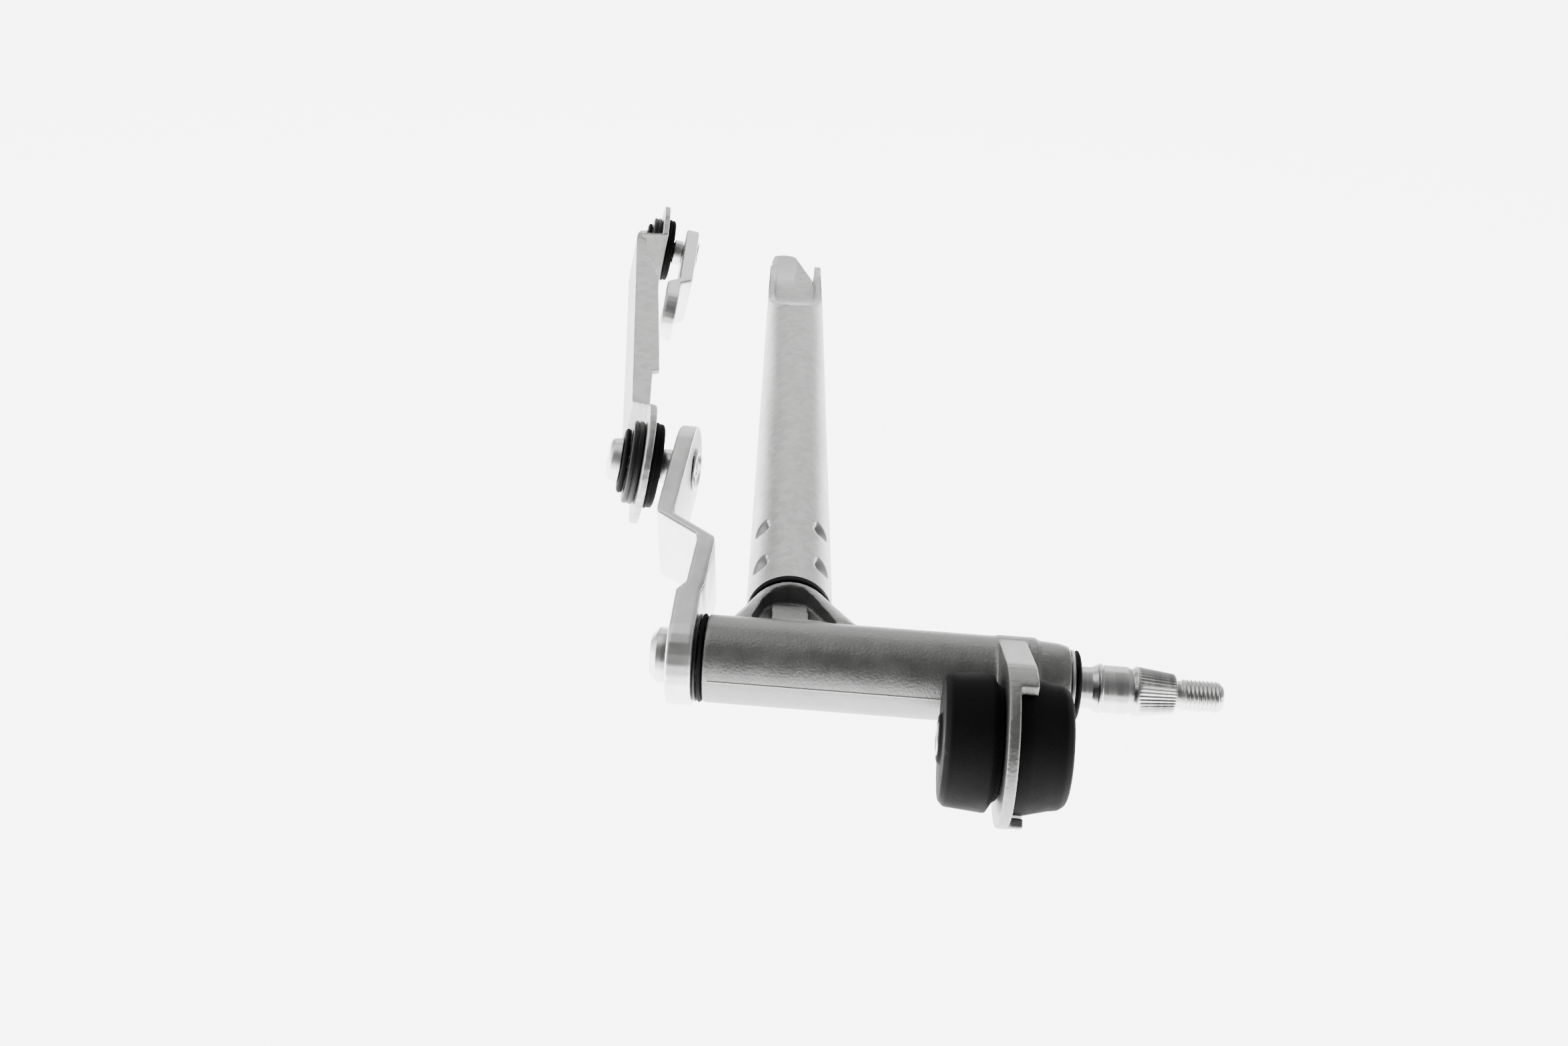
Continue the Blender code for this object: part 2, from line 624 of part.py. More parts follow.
def crank_lever(axis):
    """The pressed lever on the spindle, joggled towards the rod."""
    place = lever_place()
    boss = BOSS_THICKNESS / ARM_THICKNESS
    middle = [(-20 * MM, 0, boss), (11.9 * MM, 0, boss), (15 * MM, lever_height(15 * MM), 1)]
    start, end = JOGGLE
    for at in (start - 1 * MM, start + 1 * MM, end - 1 * MM, end + 1 * MM, 95 * MM):
        middle.append((at, lever_height(at), 1))
    bar = on_side(prism(strip(middle, ARM_THICKNESS), -16 * MM, 16 * MM))
    lever = add("crank_lever", bar, "zinc_plated_steel", axis, place)
    trim = prism(stadium(LEVER_LENGTH, LEVER_HALF_WIDTH), -30 * MM, 30 * MM)
    combine(lever, "INTERSECT", "lever_outline", trim, axis, place)
    seat = rod_bar(RIVET_SEAT_RADIUS + GAP, -10 * MM, 10 * MM)
    combine(lever, "DIFFERENCE", "spindle_hole", seat, axis, place)
    hole = rod_bar(STUD_NECK_RADIUS + GAP, -30 * MM, 30 * MM, 24)
    combine(lever, "DIFFERENCE", "stud_hole", hole, axis, place @ stud_place())
    soften(lever, 0.5 * MM)


def stud_place():
    """The near ball stud's frame on the lever, with its origin in the middle of the arm."""
    height = lever_height(LEVER_LENGTH)
    lean = Matrix.Rotation(-math.atan(ARM_SLOPE), 4, "Y")
    return Matrix.Translation((LEVER_LENGTH, 0, height)) @ lean


def ball_stud(ball_at, plate_half, rivet):
    """A stud from its ball at ball_at, below the plate, to its riveted end above it."""
    points = [(0, ball_at - BALL_RADIUS)]
    for i in range(1, 7):
        angle = -math.pi / 2 + math.pi * 0.72 * i / 6
        points.append((BALL_RADIUS * math.cos(angle), ball_at + BALL_RADIUS * math.sin(angle)))
    shoulder = -plate_half - GAP
    seat = plate_half + GAP
    points += [(2.9 * MM, ball_at + 6.0 * MM), (4.9 * MM, ball_at + 6.6 * MM), (4.9 * MM, shoulder)]
    points += [(STUD_NECK_RADIUS, shoulder), (STUD_NECK_RADIUS, seat), (rivet, seat)]
    points += [(rivet - 0.4 * MM, seat + 0.6 * MM), (0, seat + 0.7 * MM)]
    return turned(points, 24)


def link_rod(rod):
    """The pressed channel with a stepped eye at each end."""
    web = WEB_FLOOR + SHEET / 2
    end = ROD_REACH
    middle = [(-25 * MM, 0, 1), (17 * MM, 0, 1), (21 * MM, web, 1), (end - 19.5 * MM, web, 1)]
    middle += [(end - 17 * MM, FAR_STEP, 1), (end + 25 * MM, FAR_STEP, 1)]
    sheet = on_side(prism(strip(middle, SHEET), -24 * MM, 24 * MM))
    body = add("link_rod", sheet, "galvanised_steel", rod)
    near = arc((0, 0), EYE_RADIUS, 60, 300, 24)
    far = arc((ROD_REACH, 0), EYE_RADIUS, -120, 120, 24)
    waist = CHANNEL_HALF_WIDTH
    outline = near + [(24 * MM, -waist), (end - 24 * MM, -waist)]
    outline += far + [(end - 24 * MM, waist), (24 * MM, waist)]
    combine(body, "INTERSECT", "rod_outline", prism(outline, -20 * MM, 20 * MM), rod)
    for side in (1, -1):
        combine(body, "UNION", f"flange_{side}", flange(side), rod)
    for name, at in (("near_eye_hole", 0), ("far_eye_hole", end)):
        hole = rod_bar(EYE_HOLE_RADIUS, -15 * MM, 20 * MM)
        combine(body, "DIFFERENCE", name, hole, rod, Matrix.Translation((at, 0, 0)))


def flange(side):
    """One side wall of the channel, stepped near the first eye and cut away towards the second."""
    top = WEB_FLOOR + FLANGE_HEIGHT
    low = WEB_FLOOR + 0.05 * MM
    outline = [(21.5 * MM, low), (ROD_REACH - 20 * MM, low), (ROD_REACH - 20 * MM, -1.2 * MM)]
    outline += [(ROD_REACH - 45 * MM, -0.6 * MM), (ROD_REACH - 64 * MM, top), (53 * MM, top)]
    outline += [(51 * MM, 1.2 * MM), (22.5 * MM, 0.4 * MM), (21.5 * MM, -1.5 * MM)]
    outer = side * (CHANNEL_HALF_WIDTH + 0.05 * MM)
    low_y, high_y = sorted((outer, outer - side * 1.8 * MM))
    return on_side(prism(outline, -high_y, -low_y))


def ball_joint(prefix, rod, place):
    """Socket, collar, cap and dust seal round one eye of the rod."""
    half = SHEET / 2
    hub = EYE_HOLE_RADIUS - GAP
    low = -half - GAP - 3.1 * MM
    bowl = [(5.3 * MM, low + 1.2 * MM), (5.3 * MM, 1.2 * MM), (6.0 * MM, half + GAP)]
    socket = [(5.3 * MM, low), (SOCKET_RADIUS - 0.3 * MM, low), (SOCKET_RADIUS, low + 0.3 * MM)]
    socket += [(SOCKET_RADIUS, -half - GAP - 0.3 * MM), (SOCKET_RADIUS - 0.3 * MM, -half - GAP)]
    socket += [(hub, -half - GAP), (hub, half + GAP)]
    add(f"{prefix}_socket", turned(socket + bowl[::-1]), "black_plastic", rod, place)
    top = low - GAP
    collar = ring(5.3 * MM, COLLAR_RADIUS, top - 1.6 * MM, top, 0.3 * MM)
    add(f"{prefix}_collar", collar, "black_rubber", rod, place)
    crown = top - 1.6 * MM - GAP
    end = crown - CAP_HEIGHT
    cap = [(0, end + 0.5 * MM), (1.2 * MM, end + 0.3 * MM), (1.5 * MM, end), (CAP_RADIUS - 1.6 * MM, end)]
    cap += [(CAP_RADIUS - 0.7 * MM, end + 0.8 * MM), (CAP_RADIUS, crown - 0.6 * MM)]
    cap += [(CAP_RADIUS, crown), (CAP_RADIUS - 1.5 * MM, crown)]
    cap += [(CAP_RADIUS - 2.2 * MM, end + 1.9 * MM), (0, end + 1.7 * MM)]
    add(f"{prefix}_cap", turned(cap, 28), "zinc_plated_steel", rod, place)
    base = half + 2 * GAP
    seal = ring(6.3 * MM, SEAL_RADIUS, base, base + 2.3 * MM, 0.3 * MM)
    add(f"{prefix}_dust_seal", seal, "black_rubber", rod, place)


def motor_crank(crank):
    """The crank that a motor shaft drives, on the far ball stud."""
    hub = CRANK_OVER - CRANK_DROP
    middle = [(-20 * MM, CRANK_OVER, 1), (35 * MM, CRANK_OVER, 1)]
    middle += [(38.5 * MM, hub, 1), (70 * MM, hub, 1)]
    bar = on_side(prism(strip(middle, CRANK_THICKNESS), -14 * MM, 14 * MM))
    body = add("motor_crank", bar, "zinc_plated_steel", crank)
    trim = prism(stadium(CRANK_LENGTH, CRANK_HALF_WIDTH), -5 * MM, 30 * MM)
    combine(body, "INTERSECT", "crank_outline", trim, crank)
    stud_hole = rod_bar(STUD_NECK_RADIUS + GAP, -5 * MM, 30 * MM, 24)
    combine(body, "DIFFERENCE", "crank_stud_hole", stud_hole, crank)
    shaft_hole = rod_bar(SHAFT_HOLE_RADIUS, -5 * MM, 30 * MM, 24)
    hub_place = Matrix.Translation((CRANK_LENGTH, 0, 0))
    combine(body, "DIFFERENCE", "shaft_hole", shaft_hole, crank, hub_place)
    soften(body, 0.5 * MM)
    stud = ball_stud(-CRANK_OVER, CRANK_THICKNESS / 2, 5.6 * MM)
    add("far_ball_stud", stud, "bright_steel", crank, Matrix.Translation((0, 0, CRANK_OVER)))


def main():
    clear_scene()
    drawing = empty("assembly", DRAWING_TO_WORLD)
    pivot_housing()
    frame_tube()
    housing_fittings()
    axis = empty("spindle_axis", Matrix.Identity(4), drawing)
    spindle(axis)
    crank_lever(axis)
    stud = lever_place() @ stud_place()
    reach = (stud.inverted() @ NEAR_BALL).z
    add("near_ball_stud", ball_stud(reach, ARM_THICKNESS / 2, 6.2 * MM), "bright_steel", axis, stud)
    rod = empty("near_ball", frame_from(stud @ Vector((0, 0, reach)), ROD_NORMAL, ROD_AIM), drawing)
    link_rod(rod)
    ball_joint("near", rod, Matrix.Identity(4))
    far = Matrix.Translation((ROD_REACH, 0, FAR_STEP))
    ball_joint("far", rod, far)
    aim = Vector((math.cos(CRANK_ANGLE), math.sin(CRANK_ANGLE), 0))
    far_ball = rod.matrix_basis @ far.translation
    crank = empty("far_ball", frame_from(far_ball, CRANK_NORMAL, aim), drawing)
    motor_crank(crank)


main()
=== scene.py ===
"""Looks for the windshield wiper pivot and linkage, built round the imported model. Every mesh is
drawn in the row frame, in metres: +X out of the spindle's threaded end, +Y along the tube, +Z up."""

import json
import math

import bmesh
import bpy
from mathutils import Matrix, Vector


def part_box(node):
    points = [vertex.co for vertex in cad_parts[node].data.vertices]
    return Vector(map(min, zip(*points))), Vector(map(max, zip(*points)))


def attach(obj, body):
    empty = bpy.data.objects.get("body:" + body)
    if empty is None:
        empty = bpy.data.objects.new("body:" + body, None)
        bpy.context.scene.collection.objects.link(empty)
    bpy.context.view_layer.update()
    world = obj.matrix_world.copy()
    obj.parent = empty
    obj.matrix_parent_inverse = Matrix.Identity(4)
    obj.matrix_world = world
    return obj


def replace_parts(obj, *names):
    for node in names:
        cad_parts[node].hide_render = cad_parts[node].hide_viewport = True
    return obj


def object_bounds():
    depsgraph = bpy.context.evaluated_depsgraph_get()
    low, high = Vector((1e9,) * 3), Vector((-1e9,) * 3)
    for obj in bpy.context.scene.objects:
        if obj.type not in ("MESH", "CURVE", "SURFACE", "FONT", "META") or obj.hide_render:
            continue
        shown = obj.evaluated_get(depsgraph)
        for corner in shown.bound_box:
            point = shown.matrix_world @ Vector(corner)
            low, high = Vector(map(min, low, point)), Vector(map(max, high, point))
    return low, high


MM = 0.001
TURN = 2 * math.pi
FINE = 96  # segments round a turned piece
SHARP = math.radians(38)  # an edge that turns more than this is shaded sharp

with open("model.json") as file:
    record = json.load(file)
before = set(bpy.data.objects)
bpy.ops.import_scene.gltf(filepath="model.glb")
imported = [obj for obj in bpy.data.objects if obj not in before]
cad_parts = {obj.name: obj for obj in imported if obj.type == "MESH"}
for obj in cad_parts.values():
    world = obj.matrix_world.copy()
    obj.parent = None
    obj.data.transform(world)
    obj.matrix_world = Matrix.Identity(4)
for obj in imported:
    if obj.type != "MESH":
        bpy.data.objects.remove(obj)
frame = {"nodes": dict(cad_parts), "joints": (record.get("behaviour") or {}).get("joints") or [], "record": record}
CAD_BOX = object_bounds()
NODES = frame["nodes"]
JOINTS = {joint["name"]: joint for joint in frame["joints"]}
BODY_OF = {node: body for body, nodes in frame["record"]["behaviour"]["bodies"].items() for node in nodes}
SLOT_OF = {row["node"]: row["material_slot"] for row in frame["record"]["subparts"]}


# ---------------------------------------------------------------- materials

PATCHES = (0.35, 0.65)  # of the noise, from all dark to all light
SPECKLES = (0.62, 0.75)
WORN_EDGES = (0.52, 0.60)  # of the pointiness, which is 0.5 on a flat face


def shader_of(name, colour, roughness, metallic):
    """A new material with its Principled shader set."""
    made = bpy.data.materials.new(name)
    made.use_nodes = True
    shader = made.node_tree.nodes["Principled BSDF"]
    shader.inputs["Base Color"].default_value = (*colour, 1)
    shader.inputs["Roughness"].default_value = roughness
    shader.inputs["Metallic"].default_value = metallic
    return made


def noise(tree, scale, stretch=(1, 1, 1), detail=4.0):
    """Noise in the row frame, scale to the metre, stretched along the axes."""
    place = tree.nodes.new("ShaderNodeTexCoord")
    mapping = tree.nodes.new("ShaderNodeMapping")
    mapping.inputs["Scale"].default_value = stretch
    texture = tree.nodes.new("ShaderNodeTexNoise")
    texture.inputs["Scale"].default_value = scale
    texture.inputs["Detail"].default_value = detail
    tree.links.new(place.outputs["Object"], mapping.inputs["Vector"])
    tree.links.new(mapping.outputs["Vector"], texture.inputs["Vector"])
    return texture.outputs["Fac"]


def cells(tree, scale):
    """The random grey of each cell of a Voronoi pattern, like zinc spangle."""
    place = tree.nodes.new("ShaderNodeTexCoord")
    texture = tree.nodes.new("ShaderNodeTexVoronoi")
    texture.inputs["Scale"].default_value = scale
    grey = tree.nodes.new("ShaderNodeRGBToBW")
    tree.links.new(place.outputs["Object"], texture.inputs["Vector"])
    tree.links.new(texture.outputs["Color"], grey.inputs["Color"])
    return grey.outputs["Val"]


def edges(tree):
    """High on outer edges and low in grooves."""
    return tree.nodes.new("ShaderNodeNewGeometry").outputs["Pointiness"]


def ranged(tree, source, low, high, out_low=0.0, out_high=1.0):
    """A value carried from low..high to out_low..out_high, and held at the ends."""
    node = tree.nodes.new("ShaderNodeMapRange")
    for name, value in zip(("From Min", "From Max", "To Min", "To Max"), (low, high, out_low, out_high)):
        node.inputs[name].default_value = value
    tree.links.new(source, node.inputs["Value"])
    return node.outputs["Result"]


def blend(tree, factor, first, second):
    """Two colours, or a colour input and a colour, mixed by a factor."""
    node = tree.nodes.new("ShaderNodeMix")
    node.data_type = "RGBA"
    tree.links.new(factor, node.inputs["Factor"])
    for socket, value in ((node.inputs[6], first), (node.inputs[7], second)):
        if isinstance(value, tuple):
            socket.default_value = (*value, 1)
        else:
            tree.links.new(value, socket)
    return node.outputs[2]


def rough_and_bumped(tree, shader, rough_from, rough_range, bump_from, depth):
    """Roughness from one value, and a bump of that depth in metres from another."""
    low, high = rough_range
    tree.links.new(ranged(tree, rough_from, 0.3, 0.7, low, high), shader.inputs["Roughness"])
    bump = tree.nodes.new("ShaderNodeBump")
    bump.inputs["Distance"].default_value = depth
    bump.inputs["Strength"].default_value = 1.0
    tree.links.new(bump_from, bump.inputs["Height"])
    tree.links.new(bump.outputs["Normal"], shader.inputs["Normal"])


def skin(name, colours, roughness, patch, grain, depth, metallic=1.0, stretch=(1, 1, 1)):
    """A finish that varies in patches from dark to light, has a fine grain of that depth, and is worn
    brighter in specks and on its edges."""
    dark, light, worn = colours
    made = shader_of(name, light, roughness[0], metallic)
    tree = made.node_tree
    shader = tree.nodes["Principled BSDF"]
    patches = noise(tree, patch, stretch)
    fine = noise(tree, grain, stretch, 2.0)
    colour = blend(tree, ranged(tree, patches, *PATCHES), dark, light)
    speckle = ranged(tree, fine, *SPECKLES, 0.0, 0.35)
    colour = blend(tree, speckle, colour, worn)
    colour = blend(tree, ranged(tree, edges(tree), *WORN_EDGES, 0.0, 0.8), colour, worn)
    tree.links.new(colour, shader.inputs["Base Color"])
    rough_and_bumped(tree, shader, patches, roughness, fine, depth)
    return made


def cast_aluminium():
    """Die casting with a fine pitted skin."""
    colours = (0.225, 0.225, 0.222), (0.265, 0.265, 0.262), (0.44, 0.44, 0.43)
    return skin("cast_aluminium_skin", colours, (0.38, 0.46), 190, 1500, 0.10 * MM, 0.85)


def galvanised_steel():
    """Zinc skin with faint spangle, cloudy patches and draw lines along the tube."""
    colours = (0.36, 0.36, 0.355), (0.50, 0.50, 0.49), (0.66, 0.66, 0.65)
    made = skin("galvanised_skin", colours, (0.36, 0.52), 75, 900, 0.04 * MM, 0.95, (1, 0.3, 1))
    tree = made.node_tree
    shader = tree.nodes["Principled BSDF"]
    under = shader.inputs["Base Color"].links[0].from_socket
    spangle = ranged(tree, cells(tree, 420), 0.2, 0.8, 0.0, 0.28)
    tree.links.new(blend(tree, spangle, under, (0.72, 0.73, 0.73)), shader.inputs["Base Color"])
    return made


def zinc_plate():
    """Pale zinc plating on pressed steel, a little cloudy."""
    colours = (0.65, 0.65, 0.645), (0.79, 0.79, 0.78), (0.90, 0.90, 0.89)
    return skin("zinc_plate", colours, (0.26, 0.40), 90, 1100, 0.015 * MM)


def turned_steel():
    """Bright plated steel with fine turning lines round the spindle."""
    colours = (0.58, 0.58, 0.575), (0.72, 0.72, 0.71), (0.86, 0.86, 0.85)
    return skin("turned_steel", colours, (0.20, 0.34), 160, 700, 0.01 * MM, 1.0, (6, 0.4, 0.4))


def black_rubber():
    """Matt rubber with mould grain, cloudy patches and paler rubbed edges."""
    colours = (0.0025, 0.0025, 0.0025), (0.006, 0.006, 0.006), (0.02, 0.02, 0.02)
    made = skin("black_rubber_skin", colours, (0.68, 0.88), 110, 2300, 0.04 * MM, 0.0)
    made.node_tree.nodes["Principled BSDF"].inputs["Specular IOR Level"].default_value = 0.12
    return made


def black_plastic():
    """Black moulded plastic with a slight sheen and a fine grain."""
    colours = (0.005, 0.005, 0.005), (0.010, 0.010, 0.010), (0.030, 0.030, 0.031)
    made = skin("black_plastic_skin", colours, (0.34, 0.48), 150, 3000, 0.02 * MM, 0.0)
    made.node_tree.nodes["Principled BSDF"].inputs["Specular IOR Level"].default_value = 0.3
    return made


def sintered_bronze():
    """Porous bearing bronze."""
    colours = (0.36, 0.23, 0.12), (0.50, 0.34, 0.19), (0.66, 0.47, 0.28)
    return skin("bronze_skin", colours, (0.42, 0.56), 200, 3500, 0.04 * MM)


FINISHES = {
    "cast_aluminium": cast_aluminium(),
    "galvanised_steel": galvanised_steel(),
    "zinc_plated_steel": zinc_plate(),
    "bright_steel": turned_steel(),
    "black_rubber": black_rubber(),
    "black_plastic": black_plastic(),
    "sintered_bronze": sintered_bronze(),
}


# ---------------------------------------------------------------- mesh tools


def dress(obj, node):
    """Gives a new piece its finish and its body, and lets it stand for the CAD node."""
    slot = SLOT_OF[node]
    obj.data.materials.clear()
    obj.data.materials.append(FINISHES[slot])
    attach(obj, BODY_OF[node])
    return obj


def piece(name, bm, node, place=None):
    """A shaded object from a bmesh drawn in its own frame."""
    if place:
        bmesh.ops.transform(bm, matrix=place, verts=bm.verts)
    bmesh.ops.recalc_face_normals(bm, faces=bm.faces)
    if bm.calc_volume(signed=True) < 0:
        bmesh.ops.reverse_faces(bm, faces=bm.faces)
    mesh = bpy.data.meshes.new(name)
    bm.to_mesh(mesh)
    bm.free()
    mesh.shade_smooth()
    mesh.set_sharp_from_angle(angle=SHARP)
    obj = bpy.data.objects.new(name, mesh)
    bpy.context.scene.collection.objects.link(obj)
    return dress(obj, node)


def along(origin, direction):
    """The frame at origin whose Z is the direction."""
    turn = Vector(direction).normalized().to_track_quat("Z", "Y")
    return Matrix.Translation(origin) @ turn.to_matrix().to_4x4()


def rounded(profile, radius, closed=True, steps=4):
    """The profile with its corners rounded as far as their two sides leave room."""
    points = [Vector(point) for point in profile]
    out = []
    for i, corner in enumerate(points):
        if not closed and i in (0, len(points) - 1):
            out.append(corner)
            continue
        before, after = points[i - 1] - corner, points[(i + 1) % len(points)] - corner
        cut = min(radius, 0.45 * before.length, 0.45 * after.length)
        start, end = corner + before.normalized() * cut, corner + after.normalized() * cut
        for k in range(steps + 1):
            t = k / steps
            out.append(start.lerp(corner, t).lerp(corner.lerp(end, t), t))
    return out


def turned(profile, segments=FINE, field=None):
    """A profile of (radius, height) points turned about Z, with its radius changed by a field of
    (height, angle). One that starts on the axis is solid, and any other closes as a ring."""
    bm = bmesh.new()
    rows = []
    for radius, height in profile:
        if radius < 1e-7:
            rows.append([bm.verts.new((0, 0, height))])
            continue
        row = []
        for i in range(segments):
            angle = TURN * i / segments
            at = radius + (field(height, angle) if field else 0.0)
            row.append(bm.verts.new((at * math.cos(angle), at * math.sin(angle), height)))
        rows.append(row)
    pairs = list(zip(rows, rows[1:]))
    if len(rows[0]) > 1:
        pairs.append((rows[-1], rows[0]))
    for low, high in pairs:
        for i in range(segments):
            j = (i + 1) % segments
            if len(low) == 1:
                bm.faces.new((low[0], high[j], high[i]))
            elif len(high) == 1:
                bm.faces.new((low[i], low[j], high[0]))
            else:
                bm.faces.new((low[i], low[j], high[j], high[i]))
    return bm


def ring(name, node, place, inner, outer, low, high, radius=0.3 * MM):
    """A plain ring with rounded edges."""
    profile = [(inner, low), (outer, low), (outer, high), (inner, high)]
    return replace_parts(piece(name, turned(rounded(profile, radius)), node, place), node)


def remeshed(node, voxel, passes, extra=()):
    """A CAD node rebuilt as a fine even mesh and smoothed, so that its edges and corners are
    rounded as a casting's or a pressing's are. Extra bmeshes are merged into it."""
    bm = bmesh.new()
    bm.from_mesh(NODES[node].data)
    bmesh.ops.remove_doubles(bm, verts=bm.verts, dist=0.001 * MM)
    for more in extra:
        part = bpy.data.meshes.new("part")
        more.to_mesh(part)
        more.free()
        bm.from_mesh(part)
    rough = bpy.data.meshes.new(f"{node}_rough")
    bm.to_mesh(rough)
    bm.free()
    obj = bpy.data.objects.new(f"{node}_looks", rough)
    bpy.context.scene.collection.objects.link(obj)
    even = obj.modifiers.new("even", "REMESH")
    even.mode = "VOXEL"
    even.voxel_size = voxel
    soft = obj.modifiers.new("soft", "SMOOTH")
    soft.factor = 0.5
    soft.iterations = passes
    graph = bpy.context.evaluated_depsgraph_get()
    obj.data = bpy.data.meshes.new_from_object(obj.evaluated_get(graph))
    obj.modifiers.clear()
    obj.data.shade_smooth()
    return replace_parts(dress(obj, node), node)


def ease(value):
    """A value carried smoothly from 0 to 1, and held outside them."""
    value = min(1.0, max(0.0, value))
    return value * value * (3 - 2 * value)


# ---------------------------------------------------------------- spindle and housing

SPINDLE = along((0, 0, 0), (1, 0, 0))
LUG_AT = Vector((0, -27.8 * MM, 0))
BARREL_RADIUS = 11.05 * MM
BARREL_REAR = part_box("pivot_housing")[0].x
THREAD = (-9.9 * MM, -0.7 * MM)
THREAD_PITCH = 1.0 * MM
THREAD_DEPTH = 0.42 * MM
THREAD_FADE = 0.8 * MM
KNURL = (-21.3 * MM, -11.7 * MM)
KNURL_TEETH = 40
KNURL_DEPTH = 0.24 * MM
KNURL_FADE = 0.7 * MM
CLIP_START = -70  # degrees
CLIP_TURN = 335
BARREL_CHAMFER = 0.35 * MM
LUG_REAR = -56.0 * MM


def spindle_cut(height, angle):
    """How far the thread and the knurl cut into the turned spindle."""
    cut = 0.0
    start, end = THREAD
    if start < height < end:
        fade = ease((height - start) / THREAD_FADE) * ease((end - height) / THREAD_FADE)
        turn = (height / THREAD_PITCH - angle / TURN) % 1.0
        cut -= THREAD_DEPTH * fade * (1 - abs(2 * turn - 1))
    start, end = KNURL
    if start < height < end:
        fade = ease((height - start) / KNURL_FADE) * ease((end - height) / KNURL_FADE)
        tooth = (angle * KNURL_TEETH / TURN) % 1.0
        cut -= KNURL_DEPTH * fade * (1 - abs(2 * tooth - 1))
    return cut


def refined(profile, start, end, step):
    """The profile with points added every step where its height runs from start to end."""
    out = [profile[0]]
    for first, second in zip(profile, profile[1:]):
        inside = first[1] >= start - step and second[1] <= end + step
        count = max(1, math.ceil(abs(second[1] - first[1]) / step)) if inside else 1
        for k in range(1, count + 1):
            out.append(Vector(first).lerp(Vector(second), k / count))
    return out


def spindle():
    """The spindle: riveted head, journal, bead, knurled cone and thread."""
    profile = [
        (0, -141.9), (5.3, -141.9), (7.05, -140.1), (7.05, -137.5), (4.8, -137.5), (4.8, -130.4),
        (6.0, -130.4), (6.0, -38.2), (5.2, -38.2), (5.2, -32.4), (5.9, -31.0), (6.25, -30.7),
        (6.25, -30.1), (5.95, -29.8), (5.95, -23.7), (5.45, -22.4), (6.12, -21.5), (6.12, -21.1),
        (4.95, -12.0), (4.25, -11.5), (3.4, -11.3), (3.4, -10.4), (3.95, -9.8), (3.95, -1.2),
        (3.0, -0.05), (0, 0),
    ]
    profile = rounded([(r * MM, z * MM) for r, z in profile], 0.22 * MM, closed=False, steps=3)
    profile = refined(profile, *KNURL, 0.5 * MM)
    profile = refined(profile, *THREAD, THREAD_PITCH / 12)
    shaft = piece("spindle_looks", turned(profile, 6 * KNURL_TEETH, spindle_cut), "spindle_shaft", SPINDLE)
    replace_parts(shaft, "spindle_shaft")


def retaining_clip():
    """The spring clip: a flat ring with a gap, in the spindle's groove."""
    inner, outer, low, high = 5.55 * MM, 9.2 * MM, -37.85 * MM, -37.15 * MM
    section = rounded([(inner, low), (outer, low), (outer, high), (inner, high)], 0.2 * MM)
    bm = bmesh.new()
    rows = []
    for i in range(FINE + 1):
        angle = math.radians(CLIP_START + CLIP_TURN * i / FINE)
        points = [(r * math.cos(angle), r * math.sin(angle), z) for r, z in section]
        rows.append([bm.verts.new(point) for point in points])
    for first, second in zip(rows, rows[1:]):
        for i in range(len(section)):
            j = (i + 1) % len(section)
            bm.faces.new((first[i], first[j], second[j], second[i]))
    bm.faces.new(rows[0])
    bm.faces.new(rows[-1])
    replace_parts(piece("retaining_clip", bm, "retaining_ring", SPINDLE), "retaining_ring")


def seals():
    """The domed front seal, the rear seal and the washer beside each."""
    dome = [(5.5, -36.45), (9.0, -36.45), (8.9, -35.95), (8.0, -35.5), (6.6, -35.3), (5.5, -35.35)]
    dome = rounded([(r * MM, z * MM) for r, z in dome], 0.25 * MM)
    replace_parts(piece("front_seal_looks", turned(dome), "front_seal", SPINDLE), "front_seal")
    rear = [(6.3, -129.45), (10.9, -129.45), (11.15, -129.15), (11.15, -128.8), (10.8, -128.5)]
    rear = rounded([(r * MM, z * MM) for r, z in [*rear, (6.3, -128.5)]], 0.15 * MM)
    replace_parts(piece("rear_seal_looks", turned(rear), "rear_seal", SPINDLE), "rear_seal")
    for node in ("rear_washer", "front_washer"):
        low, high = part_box(node)
        ring(f"{node}_looks", node, SPINDLE, 6.3 * MM, high.y - 0.02 * MM, low.x, high.x, 0.15 * MM)


def bushes():
    """The two sintered bushes in the barrel."""
    for node in ("front_bush", "rear_bush"):
        low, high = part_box(node)
        ring(f"{node}_looks", node, SPINDLE, 6.12 * MM, 7.6 * MM, low.x, high.x, 0.4 * MM)


def housing():
    """The casting, with a true round barrel, soft corners and its parting ridge."""
    rear = BARREL_REAR + 0.1 * MM
    barrel = [(7.95 * MM, rear), (BARREL_RADIUS - BARREL_CHAMFER, rear)]
    barrel += [(BARREL_RADIUS, rear + BARREL_CHAMFER), (BARREL_RADIUS, LUG_REAR), (7.95 * MM, LUG_REAR)]
    bm = turned(barrel, 160)
    bmesh.ops.transform(bm, matrix=SPINDLE, verts=bm.verts)
    remeshed("pivot_housing", 0.4 * MM, 6, [bm])
    parting_ridge()


def parting_ridge():
    """The ridge that the mould's parting line leaves along the barrel: proud, and steeper below."""
    ridge = bmesh.new()
    rows = []
    for x in (BARREL_REAR + 1.5 * MM, LUG_REAR - 0.5 * MM):
        points = [(x, -BARREL_RADIUS + 0.4 * MM, 0.7 * MM), (x, -BARREL_RADIUS - 0.2 * MM, 0.1 * MM)]
        points += [(x, -BARREL_RADIUS - 0.2 * MM, -0.25 * MM), (x, -BARREL_RADIUS + 0.4 * MM, -0.5 * MM)]
        rows.append([ridge.verts.new(point) for point in points])
    for i in range(4):
        j = (i + 1) % 4
        ridge.faces.new((rows[0][i], rows[0][j], rows[1][j], rows[1][i]))
    ridge.faces.new(rows[0])
    ridge.faces.new(rows[1])
    piece("parting_ridge", ridge, "pivot_housing")


